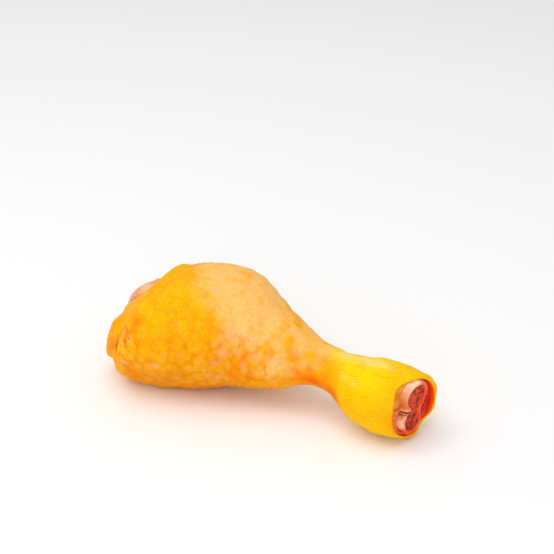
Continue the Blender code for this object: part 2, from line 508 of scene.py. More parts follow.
@dataclass(frozen=True)
class Wire:
    """A node's output socket, with arithmetic that adds Math nodes."""

    shade: "Shade"
    socket: bpy.types.NodeSocket

    def maths(self, operation: str, first: Any, second: Any = 0.0) -> "Wire":
        """A Math node on two values."""
        settings = {"operation": operation, "use_clamp": False}
        return self.shade.node("ShaderNodeMath", settings, {0: first, 1: second})

    def __add__(self, other: Any) -> "Wire":
        """Sum."""
        return self.maths("ADD", self, other)

    __radd__ = __add__

    def __mul__(self, other: Any) -> "Wire":
        """Product."""
        return self.maths("MULTIPLY", self, other)

    __rmul__ = __mul__

    def __sub__(self, other: Any) -> "Wire":
        """Difference."""
        return self.maths("SUBTRACT", self, other)

    def __rsub__(self, other: Any) -> "Wire":
        """Difference, the other way round."""
        return self.maths("SUBTRACT", other, self)

    def ramp(self, low: float, high: float) -> "Wire":
        """0 below low, 1 above high and a smooth step between."""
        inputs = {"Value": self, "From Min": low, "From Max": high}
        return self.shade.node("ShaderNodeMapRange", {"interpolation_type": "SMOOTHSTEP"}, inputs)


def colour(red: int, green: int, blue: int) -> tuple[float, float, float, float]:
    """Linear colour of screen values from 0 to 255."""
    share = (v / 255.0 for v in (red, green, blue))
    return (*(v / 12.92 if v <= 0.04045 else ((v + 0.055) / 1.055) ** 2.4 for v in share), 1.0)


class Shade:
    """A material's node tree, with a Principled shader at its end."""

    def __init__(self, name: str, **constants: Any) -> None:
        """Makes the material.

        Args:
            name: name of the material.
            constants: values of the shader's sockets, with _ for a space in a socket's name.
        """
        self.material = bpy.data.materials.new(name)
        self.material.use_nodes = True
        self.tree = self.material.node_tree
        self.shader = self.tree.nodes["Principled BSDF"]
        for key, value in constants.items():
            self.shader.inputs[key.replace("_", " ")].default_value = value

    def node(self, kind: str, settings: dict[str, Any], inputs: dict[Any, Any], output: Any = 0) -> Wire:
        """Adds a node.

        Args:
            kind: the node's type.
            settings: its own settings, set before its sockets.
            inputs: value, colour or wire of each socket, by name or number.
            output: which output is returned.

        Returns:
            The output, wrapped.
        """
        made = self.tree.nodes.new(kind)
        for key, value in settings.items():
            setattr(made, key, value)
        for key, value in inputs.items():
            if isinstance(value, Wire):
                self.tree.links.new(value.socket, made.inputs[key])
            else:
                made.inputs[key].default_value = value
        return Wire(self, made.outputs[output])

    def field(self, name: str) -> Wire:
        """A number field of the piece."""
        return self.node("ShaderNodeAttribute", {"attribute_name": name}, {}, "Fac")

    def place(self) -> Wire:
        """Object coordinates, in metres."""
        return self.node("ShaderNodeTexCoord", {}, {}, "Object")

    def grain(self, size: float, detail: float = 2.0, roughness: float = 0.5) -> Wire:
        """Noise from 0 to 1 whose patches are about size millimetres."""
        inputs = {"Vector": self.place(), "Scale": 1.0 / (size * MM), "Detail": detail,
                  "Roughness": roughness}
        return self.node("ShaderNodeTexNoise", {}, inputs, "Fac")

    def net(self, size: float) -> Wire:
        """Net of fine lines round cells, whose places are stirred by noise.

        Args:
            size: size of the cells in millimetres.

        Returns:
            1 on a line and 0 off it.
        """
        stirred = self.node("ShaderNodeVectorMath", {"operation": "MULTIPLY_ADD"}, {
            0: self.node("ShaderNodeTexNoise", {}, {"Vector": self.place(), "Scale": 400.0}, "Color"),
            1: (0.4 * size * MM,) * 3, 2: self.place()})
        inputs = {"Vector": stirred, "Scale": 1.0 / (size * MM)}
        lines = self.node("ShaderNodeTexVoronoi", {"feature": "DISTANCE_TO_EDGE"}, inputs, "Distance")
        return 1.0 - lines.ramp(0.02, 0.16)

    def mix(self, share: Wire, first: Wire | Tint, second: Wire | Tint) -> Wire:
        """Colour between two.

        Args:
            share: 0 for the first and 1 for the second.
            first: wire or screen values of a colour.
            second: the same of the other.

        Returns:
            The mixed colour.
        """
        first, second = (paint if isinstance(paint, Wire) else colour(*paint) for paint in (first, second))
        inputs = {0: share, 6: first, 7: second}
        return self.node("ShaderNodeMix", {"data_type": "RGBA", "clamp_factor": True}, inputs, 2)

    def laid(self, tone: Wire, layers: Iterable[tuple[Wire, Wire | Tint]]) -> Wire:
        """The tone with layers of colour over it.

        Args:
            tone: colour of the ground.
            layers: share and colour of each layer, the lowest first.

        Returns:
            The colour on top.
        """
        for share, paint in layers:
            tone = self.mix(share, tone, paint)
        return tone

    def feed(self, socket: str, wire: Wire) -> None:
        """Links a wire to one of the shader's sockets."""
        self.tree.links.new(wire.socket, self.shader.inputs[socket])

    def bump(self, height: Wire, depth: float, below: Wire | None = None) -> Wire:
        """Normal of a fine relief.

        Args:
            height: its height, from 0 to 1.
            depth: what a height of 1 stands for, in millimetres.
            below: normal of the relief that it lies on.

        Returns:
            The normal.
        """
        inputs: dict[Any, Any] = {"Height": height, "Strength": 1.0, "Distance": depth * MM}
        if below:
            inputs["Normal"] = below
        return self.node("ShaderNodeBump", {}, inputs)


@dataclass(frozen=True)
class Spot:
    """A soft patch on the leg: its place along it, turn, half length, half width and strength."""

    along: float
    turn: float
    length: float
    width: float
    strength: float = 1.0

    def on(self, sheet: Sheet, reach: Array | float) -> Array:
        """Its strength times exp(-(distance along / length)^2 - (distance round / width)^2).

        Args:
            sheet: the points.
            reach: their distance from the middle line, which turns an angle into a distance.

        Returns:
            The strength at each point.
        """
        lengths = ((sheet.along - self.along) / self.length) ** 2
        widths = (away(sheet.turn, self.turn) * reach / self.width) ** 2
        return self.strength * np.exp(-lengths - widths)


def spots(*rows: tuple[float, ...]) -> tuple[Spot, ...]:
    """Spots from rows of place along, turn, half length, half width and, where not 1, strength."""
    return tuple(Spot(*row) for row in rows)


def patches(group: tuple[Spot, ...], sheet: Sheet, reach: Array) -> Array:
    """The strongest of several spots at each point."""
    return np.max([spot.on(sheet, reach) for spot in group], axis=0)


@dataclass(frozen=True)
class SkinTints:
    """Colours of the skin, as screen values."""

    yellow: Tint = (254, 187, 0)
    amber: Tint = (253, 172, 0)
    # amber_deep colours the pore net and also the painted shade between goosebumps
    amber_deep: Tint = (236, 124, 0)
    apricot_deep: Tint = (246, 146, 16)
    # painted shade: olive laid into the wrinkle grooves
    olive_groove_shade: Tint = (206, 150, 0)
    bright: Tint = (255, 196, 0)
    peach: Tint = (254, 198, 114)
    apricot: Tint = (254, 190, 88)
    lemon: Tint = (253, 195, 0)
    # painted light: a lighter lemon yellow laid on the upward-facing top of the ankle
    lit_top_citron: Tint = (254, 216, 4)
    deep: Tint = (250, 108, 4)
    # gold holds small golden blotches of the skin and, in three large patches on the lower near side, painted
    # shade
    gold_and_low_shade: Tint = (228, 146, 16)
    # pink holds the skin's pink patches and also painted highlights: glints on the knee's knob and pale tops
    # of goosebumps
    pink: Tint = (250, 172, 118)
    blood: Tint = (206, 84, 10)
    # pale is painted highlight: a pale sheen along the top of the ankle and small pale glints
    pale: Tint = (253, 222, 130)
    lining: Tint = (252, 88, 4)
    fat: Tint = (252, 218, 84)
    net_size: float = 1.7
    pore_depth: float = 0.07
    grain_depth: float = 0.18

    def dress(self) -> bpy.types.Material:
        """Skin: moist, slightly glossy, tinted by its fields, some of which are painted light, highlight and
        shade, and by two sizes of mottling.

        Returns:
            The material.
        """
        shade = Shade("raw yellow skin", Specular_IOR_Level=0.05, Subsurface_Weight=0.05,
                      Subsurface_Radius=(1.0, 0.45, 0.15), Subsurface_Scale=0.0008, IOR=1.42)
        field = shade.field
        mottle = shade.grain(5.0, 3.0, 0.55)
        fine = shade.grain(1.1, 3.0, 0.65)
        speck = shade.grain(0.8, 2.0, 0.5).ramp(0.52, 0.68)
        blush = shade.mix(mottle.ramp(0.50, 0.66), self.peach, self.apricot)
        blush_edge = field("peach") + 0.8 * (shade.grain(2.6, 3.0, 0.6) - 0.5)
        net = shade.net(self.net_size)
        calm = (1.0 - 0.6 * field("lemon")) * (1.0 - 0.65 * field("peach"))
        tone = shade.laid(shade.mix(mottle.ramp(0.40, 0.62), self.yellow, self.amber), (
            # painted light: the lighter lemon yellow on the ankle's upward-facing top
            (field("bright"), self.bright), (field("lemon"), self.lemon), (field("lit_top_citron"), self.lit_top_citron),
            # the gold layer: golden blotches, with painted shade on the lower near side
            (field("gold_and_low_shade") * (0.4 + 0.8 * fine), self.gold_and_low_shade), (blush_edge.ramp(-0.05, 1.0), blush),
            (speck * 0.32 * (1.0 - field("lemon")), self.apricot_deep),
            # the first amber layer here is the pore net; the second is painted shade between goosebumps
            (net * 0.2 * calm, self.amber_deep), (field("valley_shade") * 0.62, self.amber_deep),
            # the pale layer is painted highlight
            # the pink layer holds pink patches, painted glints and painted highlights on goosebump tops
            (field("deep"), self.deep), (field("pale"), self.pale), (field("pink"), self.pink),
            (field("blood"), self.blood), (field("fat"), self.fat),
            # the first layer here is painted shade, olive in the wrinkle grooves
            (field("groove") * 0.6, self.olive_groove_shade), (field("lining"), self.lining)))
        shade.feed("Base Color", tone)
        shade.feed("Roughness", 0.40 + 0.2 * fine)
        pores = shade.bump(shade.grain(0.6, 3.0, 0.6) - 0.8 * net * calm, self.pore_depth)
        shade.feed("Normal", shade.bump(shade.grain(1.8, 2.0, 0.5), self.grain_depth, pores))
        return shade.material


@dataclass
class Skin:
    """Sleeve of skin, open at the knee and at the ankle."""

    form: LegForm
    tints: SkinTints
    thickness: float = 1.4
    rings: int = 262
    sides: int = 276
    lining_rings: int = 44
    rim_rings: int = 9
    lump_height: float = 0.9
    lump_size: float = 14.0
    dent_height: float = 0.6
    dent_size: float = 4.6
    goose_height: float = 0.52
    goose_size: float = 2.8
    wrinkle_depth: float = 0.2
    wrinkles_round: int = 48
    wrinkle_lead: float = 3.2
    wrinkles_from: float = 76.0
    seam_depth: float = 0.55
    seam_wave: float = 0.9
    lip_wave: float = 0.5
    deepest: float = 0.9
    laid_below: float = 1.6
    thick_reach: float = 15.0
    mouth_reach: float = 14.0
    ankle_reach: float = 13.0
    peach_from: float = 12.0
    peach_to: float = 88.0
    peach_far_turn: float = -35.0
    peach_soft: float = 40.0
    lemon_from: float = 81.0
    lemon_turn: float = 225.0

    # turns of the cell and colour noise, so that it doesn't follow the leg's own directions
    slant = np.array([[1.0, 0.0, 0.35], [0.0, 1.0, 0.0], [-0.2, 0.0, 0.72]])
    twist = np.array([[0.74, -0.54, 0.40], [0.34, 0.82, 0.46], [-0.58, -0.20, 0.79]])
    # places of single forms, as spots
    goose_heart = Spot(51.0, 184.0, 15.0, 12.0)
    goose_knee = Spot(9.0, 180.0, 8.0, 12.0, 0.5)
    wrinkled_top = Spot(98.0, 105.0, 9.0, 9.0)
    knob_seam = Spot(5.0, 194.0, 1.0, 5.0)
    beside_knob = Spot(0.0, 162.0, 7.0, 5.0)
    peach_gap = Spot(51.0, 183.0, 8.5, 8.5)
    pink_heart = Spot(51.0, 178.0, 15.0, 12.0, 0.75)
    bare_rim = Spot(0.0, 194.0, 4.0, 5.0)
    # turn of the peach field's near boundary at distances along the leg
    peach_edge = ((16.0, 66.0), (20.0, 88.0), (23.0, 102.0), (26.0, 112.0), (30.0, 122.0), (35.0, 131.0),
                  (39.0, 137.0), (43.5, 152.0), (46.0, 163.0), (52.0, 178.0), (60.0, 198.0), (66.0, 196.0),
                  (74.0, 162.0), (84.0, 114.0))
    flecks = spots(
        (60, 114, 4, 2), (67, 122, 3.8, 1.5), (58.6, 126, 3, 1.4), (73.6, 140, 2.6, 1.4),
        (34, 125, 3, 2.4, 0.5), (38, 137, 3, 2.4, 0.6), (32, 88, 3, 2.6, 0.8), (40.4, 79, 5.5, 2),
        (71, 96, 3, 1.2), (55, 60, 4, 2), (48, 30, 5, 2), (38, 118, 2.5, 2), (57, 168, 3, 2.4),
        (64, 186, 3, 2), (69, 150, 3, 1.4))
    blotches = {
        "deep": spots(
            (77, 192, 6, 3.4), (85, 202, 5, 3.2), (80, 235, 8, 5), (74.5, 198, 3.4, 2.2, 0.6),
            (0.8, 196, 3, 3, 0.8), (70, 148, 4, 3, 0.2), (84, 152, 3, 2, 0.25), (83.5, 135, 3.4, 2.6, 0.3),
            (80.5, 174, 4, 2.4, 0.5), (12.8, 207, 3, 2.6, 0.6), (12.3, 154, 3.2, 3, 0.6),
            (13.5, 163, 2, 1.6, 0.6), (71, 172, 3.4, 1.8, 0.6), (75, 160, 2.4, 1.2, 0.6),
            (81, 164, 3, 1.6, 0.45), (79, 128, 3, 1.4, 0.25), (111.5, 180, 3, 7, 0.4), (109, 156, 3, 6, 0.22),
            (49, 196, 3, 2, 0.65), (44, 176, 2, 1.6, 0.5), (42, 152, 2.4, 2, 0.3), (53, 168, 1.7, 2.4, 0.7),
            (50.4, 184, 2.6, 2.4, 0.5), (47.6, 176, 2.6, 2.4, 0.4), (48.3, 193, 2.2, 1.5, 0.45),
            (55.4, 198, 2.6, 1.2, 0.4), (55, 176, 1.8, 1.6, 0.3), (8, 168, 1.2, 1, 0.65),
            (11.5, 164, 1, 0.9, 0.4), (16.4, 184, 1, 0.8, 0.45), (13.2, 202, 1.2, 1, 0.5)),
        "pink": spots(
            # the first two pink spots are painted glints on the knob
            (6.2, 174, 0.9, 2), (7.8, 182, 1, 1.2), (9.3, 198, 2, 1), (72, 158, 1.6, 1, 0.6),
            (77, 150, 1.8, 1, 0.6), (69.6, 137, 2.2, 1.4, 0.6), (71.4, 112, 2, 1.2, 0.6),
            (79, 112, 2.4, 1.2, 0.7), (77.5, 134, 1.8, 1, 0.4), (45, 170, 1.5, 2.2, 0.9),
            (46.6, 149, 2.2, 1.8, 0.8), (44.7, 159, 1.4, 1.4, 0.5), (50.4, 165, 1.1, 1.4, 0.75),
            (55.8, 164, 1.4, 1.4, 0.8), (52.8, 179, 1.1, 1.4, 0.8), (42.7, 183, 1.4, 1.2, 0.7),
            (43.2, 205, 1.6, 1.2, 0.7), (57.6, 186, 1.1, 1.4, 0.8), (22.3, 193, 1.6, 1.2),
            (61.4, 162, 1.6, 1.4, 0.6)),
        "gold_and_low_shade": spots((45.6, 183, 1.8, 1.6, 0.7), (47.6, 166, 1.3, 1.6, 0.5), (18.4, 201, 2, 1.6, 0.6),
                      # these three large patches on the lower near side are painted shade
                      (30, 206, 17, 6.5), (22, 212, 14, 9), (36, 240, 30, 22)),
        "bright": spots((20, 122, 7, 6), (12, 138, 4, 4), (8, 186, 3, 2), (90, 116, 12, 6)),
        # pale spots are painted highlights: a sheen along the ankle's top and small glints beside it
        "pale": spots((93, 90, 9, 2.2), (86, 80, 4, 2, 0.8), (88.5, 138, 1.5, 1.2, 0.5),
                      (94.5, 142, 1.6, 1.2, 0.35), (98, 97, 6, 1, 0.8), (66.5, 181, 3.2, 2.4, 0.35)),
        "blood": spots((9.9, 178, 0.9, 1.1), (11.6, 172, 0.7, 0.6), (3.4, 192, 0.6, 1.6)),
    }

    def goose(self, sheet: Sheet) -> Array:
        """Where the skin has goosebumps: most along its lower near side, and few elsewhere.

        Args:
            sheet: the points.

        Returns:
            A share from 0 to 1 for each.
        """
        low = between(np.degrees(sheet.turn), 176.0, 330.0, 30.0)
        thick_end = between(sheet.along, 2.0, 64.0, 10.0)
        heart, knee = (spot.on(sheet, self.thick_reach) for spot in (self.goose_heart, self.goose_knee))
        return np.clip(0.62 * low * thick_end + heart + knee, 0.2, 1.0) * ease((90.0 - sheet.along) / 14.0)

    def relief(self, sheet: Sheet) -> tuple[Array, dict[str, Array]]:
        """Height of the skin's relief.

        Lumps and dents are smooth noise. A goosebump is (1 - (distance / 0.8)^2)^2 round each
        seed point of a cell noise drawn out on a slant, with a random height. Wrinkles are thin
        grooves, cos^8 of a phase that grows round the ankle and along it, stirred by noise and
        left out in patches. The knob at the knee is set off by a groove on its near side and
        by lower skin above it.

        Args:
            sheet: the plain outer face.

        Returns:
            The height, and fields from 0 to 1: bump for the goosebumps, kind for each one's
            random number and groove for the wrinkles.
        """
        lumps = self.lump_height * noise(sheet.points, self.lump_size, 3, 2)
        lumps += self.dent_height * noise(sheet.points, self.dent_size, 5, 2)
        far, owner = cells(sheet.points @ self.slant, self.goose_size, 11)
        bumps = np.clip(1.0 - (far / 0.8) ** 2, 0.0, 1.0) ** 2 * (0.45 + 0.55 * owner)
        stir = 1.3 * noise(sheet.points, 4.6, 23, 2)
        phase = self.wrinkles_round * sheet.turn + TAU * (sheet.along / self.wrinkle_lead + stir)
        patchy = ease(0.1 + 2.0 * noise(sheet.points * np.array([0.5, 1.0, 1.0]), 2.6, 31, 2))
        on_top = self.wrinkled_top.on(sheet, self.ankle_reach)
        grooves = np.cos(0.5 * phase) ** 8 * ease((sheet.along - self.wrinkles_from) / 16.0)
        grooves = grooves * np.clip(0.75 * patchy + 0.7 * on_top * patchy**0.3, 0.0, 1.0)
        waved = Sheet(sheet.points, sheet.along - self.seam_wave * np.sin(5.0 * sheet.turn), sheet.turn)
        height = lumps + self.goose_height * self.goose(sheet) * bumps
        height = height - self.beside_knob.on(sheet, self.mouth_reach) - self.wrinkle_depth * grooves
        height = height - self.seam_depth * self.knob_seam.on(waved, self.thick_reach)
        return np.maximum(height, -self.deepest), {"bump": bumps, "kind": owner, "groove": grooves}

    def outer(self) -> tuple[Sheet, dict[str, Array]]:
        """The outer face with its relief, which fades where the skin lies on the floor.

        Returns:
            The grid and the relief's own fields.
        """
        plain = self.form.sheet(self.rings, self.sides)
        height, marks = self.relief(plain)
        shaped = plain.moved(height * ease(plain.points[..., 2] / self.laid_below))
        wave = self.lip_wave * noise(plain.points, 4.0, 37, 2) * self.form.at_ankle(plain.along, 9.0)
        shaped.points += wave[..., None] * self.form.middle.axes()[0]
        shaped.points[..., 2] = np.maximum(shaped.points[..., 2], 0.0)
        return shaped, marks

    def closed(self, outer: Sheet) -> Sheet:
        """The outer face, the ankle rim, the lining and the rim of the mouth, as one loop.

        Args:
            outer: the outer face.

        Returns:
            The closed grid.
        """
        base = self.form.sheet(self.rings, self.sides)
        picked = np.linspace(0, self.rings - 1, self.lining_rings).round().astype(int)
        lining = base.moved(-self.thickness - self.form.lip_hollow(base)).part(picked)
        lining.points[..., 2] = np.maximum(lining.points[..., 2], self.thickness)
        lining = lining.part(slice(None, None, -1))
        steps = np.gradient(outer.points, axis=0)
        steps /= np.linalg.norm(steps, axis=-1, keepdims=True)
        bulge = 0.5 * self.thickness
        ankle = rim(outer.part([-1]), lining.part([0]), bulge * steps[-1:], self.rim_rings)
        mouth = rim(lining.part([-1]), outer.part([0]), -bulge * steps[:1], self.rim_rings)
        return Sheet.joined([outer, ankle, lining, mouth])

    def peach(self, sheet: Sheet, reach: Array, drift: Array, stir: Array) -> Array:
        """The pale peach field.

        It lies between a near boundary, whose turn follows peach_edge, and a far one, and fades
        towards both ends, at the heart of the goosebumps, along the neck, and in flecks.

        Args:
            sheet: the closed grid.
            reach: distance of its points from the middle line.
            drift: coarse noise, which bends the boundaries.
            stir: fine noise, which breaks the field up.

        Returns:
            A share from 0 to 1 for each point.
        """
        degrees = np.degrees(sheet.turn)
        turn = np.where(degrees > 260.0, degrees - 360.0, degrees)
        edge = np.interp(sheet.along, *np.transpose(self.peach_edge)) + 10.0 * drift
        near = ease((edge - turn) / self.peach_soft + 0.5)
        far = ease((turn - self.peach_far_turn + 14.0 * drift) / self.peach_soft + 0.5)
        start = ease((sheet.along + 6.0 * drift - self.peach_from) / 18.0)
        end = ease((self.peach_to - sheet.along) / 12.0) * (1.0 - 0.35 * ease((sheet.along - 58.0) / 12.0))
        heart = 1.0 - 0.85 * ease(1.5 * self.peach_gap.on(sheet, reach))
        flecks = patches(self.flecks, sheet, reach) * np.clip(0.65 + 1.1 * stir, 0.0, 1.0)
        neck = ease((sheet.along - 50.0) / 12.0)
        broken = 1.0 - (0.3 + 0.5 * neck) * ease((stir + 0.2 * neck) / 0.6)
        return near * far * start * end * heart * (1.0 - 0.7 * flecks) * broken

    def fields(self, sheet: Sheet, marks: dict[str, Array]) -> dict[str, Array]:
        """Where each tint lies on the skin, stirred by noise.

        Args:
            sheet: the closed grid.
            marks: the relief's own fields, on the outer face.

        Returns:
            A field from 0 to 1 for each tint.
        """
        _, side, up = self.form.middle.places(sheet.points)
        reach = np.hypot(side, up)
        count = len(sheet.along)
        ring = np.arange(count)[:, None]
        bumps, owner, groove = (np.pad(marks[name], ((0, count - self.rings), (0, 0)))
                                for name in ("bump", "kind", "groove"))
        twisted = sheet.points @ self.twist
        coarse = 1.6 * noise(twisted, 9.0, 41, 3)
        fine = noise(twisted, 4.0, 57, 2)
        peach = self.peach(sheet, reach, noise(twisted, 12.0, 43, 2), fine)
        goose = self.goose(sheet) * (ring < self.rings)
        past = sheet.along - self.lemon_from - 5.0 * np.cos(away(sheet.turn, self.lemon_turn))
        lemon = ease((past + 5.0 * coarse) / 9.0)
        # painted light: how far the ankle faces upwards, which lays the lighter lemon yellow on its top
        on_top = ease((np.sin(sheet.turn) - 0.25) / 0.6) * (1.0 - 0.7 * ease((sheet.along - 99.0) / 9.0))
        # painted highlight: pale tops on some goosebumps, laid on as pink
        bump_top_highlight = ease((0.45 - owner) / 0.25) * ease((bumps - 0.15) / 0.3)
        rims = ease((ring - (count - self.rim_rings - 1)) / 2.0) + ease((3.0 - ring) / 3.0)
        strengths = {"deep": 0.9 + 0.5 * fine, "pink": 0.8 + 0.4 * fine, "gold_and_low_shade": 0.9 + 0.5 * fine,
                     "bright": 0.9 + 0.5 * coarse, "pale": 0.8 + 0.6 * fine, "blood": 1.0}
        found = {name: share * patches(self.blotches[name], sheet, reach)
                 for name, share in strengths.items()}
        pink_bump_highlight = bump_top_highlight * np.maximum(self.pink_heart.on(sheet, reach), 0.28 * goose)
        found["pink"] = np.maximum(found["pink"], pink_bump_highlight)
        # painted shade: darker amber in the gaps between goosebumps
        gaps = np.clip(1.0 - bumps / 0.25, 0.0, 1.0) ** 1.5
        found |= {
            "peach": peach,
            "valley_shade": goose * gaps * (1.0 - 0.7 * peach * (goose < 0.5)),
            "groove": groove,
            "lemon": lemon,
            "lit_top_citron": lemon * on_top,
            "fat": 0.8 * rims * (1.0 - self.bare_rim.on(sheet, reach)),
            "lining": np.broadcast_to(self.lining_share(ring), sheet.along.shape),
        }
        return {name: np.clip(values, 0.0, 1.0) for name, values in found.items()}

    def lining_share(self, ring: Array) -> Array:
        """1 on the rings of the lining and on the inner part of the ankle rim, 0 elsewhere.

        Args:
            ring: numbers of the rings.

        Returns:
            The share of each.
        """
        start = self.rings + 0.75 * self.rim_rings
        end = self.rings + self.rim_rings + self.lining_rings
        return ease((ring - start) / 4.0 + 0.5) * ease((end - ring) / 3.0)

    def build(self) -> None:
        """Makes the skin and dresses it."""
        outer, marks = self.outer()
        sheet = self.closed(outer)
        piece = make_piece("skin_sleeve", sheet, Ends.LOOP, self.fields(sheet, marks))
        place_piece(piece, "skin", self.tints.dress())


@dataclass(frozen=True)
class FleshTints:
    """Colours of the raw flesh, as screen values."""

    red: Tint = (250, 168, 92)
    dark: Tint = (242, 140, 70)
    sinew: Tint = (254, 206, 166)
    fresh: Tint = (240, 20, 2)
    fresh_deep: Tint = (196, 8, 0)
    rind: Tint = (254, 122, 36)
    membrane: Tint = (244, 140, 26)
    pith: Tint = (246, 172, 84)
    # painted shade: the dark red line that carries the bone's crease across the cut flesh
    crease_shade_red: Tint = (176, 40, 20)
    fibre_depth: float = 0.2

    def dress(self) -> bpy.types.Material:
        """Flesh: wet and pinkish, with pale sinew between its bundles, and red where freshly cut.

        Returns:
            The material.
        """
        shade = Shade("raw flesh", Specular_IOR_Level=0.1, Subsurface_Weight=0.15,
                      Subsurface_Radius=(1.2, 0.3, 0.2), Subsurface_Scale=0.0015)
        patch = shade.grain(3.2, 3.0, 0.6)
        fibre = shade.grain(1.0, 3.0, 0.65)
        rind = shade.mix(fibre.ramp(0.46, 0.66) * 0.5, self.rind, self.sinew)
        pale = shade.mix(patch.ramp(0.36, 0.52), self.pith, self.membrane)
        fresh = shade.mix(patch.ramp(0.40, 0.60), self.fresh_deep, self.fresh)
        fresh = shade.mix(fibre.ramp(0.54, 0.70) * 0.55, fresh, self.rind)
        tone = shade.laid(shade.mix(patch.ramp(0.40, 0.64), self.dark, self.red), (
            (shade.field("sinew"), self.sinew), (shade.field("cut"), rind), (shade.field("membrane"), pale),
            # the crease layer is painted shade
            (shade.field("crease") * 0.8, self.crease_shade_red), (shade.field("fresh"), fresh)))
        shade.feed("Base Color", tone)
        shade.feed("Roughness", 0.26 + 0.2 * patch)
        shade.feed("Normal", shade.bump(fibre, self.fibre_depth))
        return shade.material


@dataclass
class Flesh:
    """Flesh between the skin and the bone, which shows at the knee and at the cut ankle."""

    form: LegForm
    bone: BoneForm
    tints: FleshTints
    gap: float = 1.5
    room: float = 0.6
    channel_gap: float = 0.15
    lip: float = 114.5
    lip_lean: tuple[float, float] = (-0.11, 0.25)
    recess: float = 1.0
    far_swell: float = 0.55
    top_dip: float = 0.3
    face_front: float = 5.5
    sides: int = 180
    rings: int = 70
    knee_rings: int = 30
    knee_ridge: float = 1.0
    ankle_rings: int = 14
    ankle_ridge: float = 0.6
    bundle_size: float = 5.5
    pleats_round: float = 64.0
    cut_from: float = 86.0

    def walls(self) -> tuple[Sheet, Sheet]:
        """The outer face under the skin and the channel round the bone.

        Both end behind the skin's lip, by a recess that is deepest at the top and on the near
        side: each side of the grid is cut off where its distance along the leg, less the lip's
        lean, reaches it.

        Returns:
            The two grids, from the knee to the ankle.
        """
        count = self.rings * 2
        plain = self.form.sheet(count, self.sides)
        room = self.room * (1.0 - ease(np.linspace(0.0, 4.0, count)))[:, None]
        outer = self.trimmed(plain.moved(-(self.gap + room + self.form.lip_hollow(plain))))
        at = np.linspace(-self.face_front, self.bone.middle.length() + 4.0, count)
        return outer, self.trimmed(self.bone.sheet(at, self.sides, -self.channel_gap))

    def trimmed(self, sheet: Sheet) -> Sheet:
        """The sheet cut off behind the lip, with its rings spread evenly again.

        Args:
            sheet: a grid that runs past the lip.

        Returns:
            The cut grid.
        """
        along, side, up = self.form.middle.places(sheet.points)
        passed = np.maximum.accumulate(along - self.lip_lean[0] * up - self.lip_lean[1] * side, axis=0)
        turn = sheet.turn[0]
        stop = self.lip - self.recess + self.far_swell * np.cos(turn) - self.top_dip * np.sin(turn)
        place = np.arange(len(passed), dtype=float)
        last = np.array([np.interp(s, column, place) for s, column in zip(stop, passed.T)])
        at = np.linspace(0.0, 1.0, self.rings)[:, None] * last
        low = np.clip(np.floor(at).astype(int), 0, len(place) - 2)
        part = (at - low)[..., None]
        columns = np.arange(self.sides)[None, :]
        points = sheet.points[low, columns] * (1.0 - part) + sheet.points[low + 1, columns] * part
        return Sheet(points, self.form.middle.places(points)[0], np.broadcast_to(turn, points.shape[:2]))

    def face(self, outside: Sheet, inside: Sheet, rings: int, ridge: float, seed: int) -> Sheet:
        """Face between two rings: straight lines from one to the other with bundles of muscle.

        The bundles are one minus the squared distance of a cell noise, with pleats that run
        across, times the sine of the way across, so that the face meets both rings.

        Args:
            outside: the ring that it starts from.
            inside: the ring that it ends at.
            rings: rings between them.
            ridge: height of the bundles.
            seed: picks the pattern.

        Returns:
            The rings between.
        """
        share = np.linspace(0.0, 1.0, rings + 2)[1:-1, None, None]
        plain = outside.holding(outside.points * (1.0 - share) + inside.points * share)
        far, _ = cells(plain.points, self.bundle_size, seed)
        bundles = 1.0 - np.clip(far, 0.0, 1.0) ** 2 + 0.3 * noise(plain.points, 2.0, seed + 9, 2)
        pleats = 0.35 * np.cos(self.pleats_round * plain.turn + 3.0 * noise(plain.points, 3.0, seed + 4, 2))
        return plain.moved(ridge * (bundles + pleats) * np.sin(math.pi * share[..., 0]) ** 0.6)

    def fields(self, sheet: Sheet) -> dict[str, Array]:
        """Where each tint lies on the flesh: sinew at the knee, the rest at the cut ankle.

        Args:
            sheet: the closed grid.

        Returns:
            A field from 0 to 1 for each tint.
        """
        far, _ = cells(sheet.points, self.bundle_size, 67)
        sinew = ease((far - 0.62) / 0.16) * ease(0.5 + noise(sheet.points, 4.0, 71, 2))
        pale_top = hump(away(sheet.turn, 98.0), 17.0)
        cut = ease((sheet.along - self.cut_from) / 6.0)
        far_side = 1.5 * np.cos(away(sheet.turn, 2.0)) - 0.1
        degrees = np.degrees(sheet.turn)
        stirred = degrees + 12.0 * noise(sheet.points, 2.0, 79, 2)
        return {
            "sinew": 0.8 * np.maximum(sinew, pale_top) * (1.0 - cut),
            "cut": cut,
            "fresh": cut * ease(far_side + 0.5 * noise(sheet.points, 3.0, 73, 2)),
            "membrane": cut * between(stirred, 84.0, 160.0, 12.0),
            # painted shade: a dark red line that carries the bone's crease across the cut flesh
            "crease": 0.7 * cut * between(degrees, 165.0, 167.0, 4.0),
        }

    def build(self) -> None:
        """Makes the flesh and dresses it."""
        outer, channel = self.walls()
        ankle = self.face(outer.part([-1]), channel.part([-1]), self.ankle_rings, self.ankle_ridge, 61)
        knee = self.face(channel.part([0]), outer.part([0]), self.knee_rings, self.knee_ridge, 67)
        sheet = Sheet.joined([outer, ankle, channel.part(slice(None, None, -1)), knee])
        piece = make_piece("leg_flesh", sheet, Ends.LOOP, self.fields(sheet))
        place_piece(piece, "flesh", self.tints.dress())


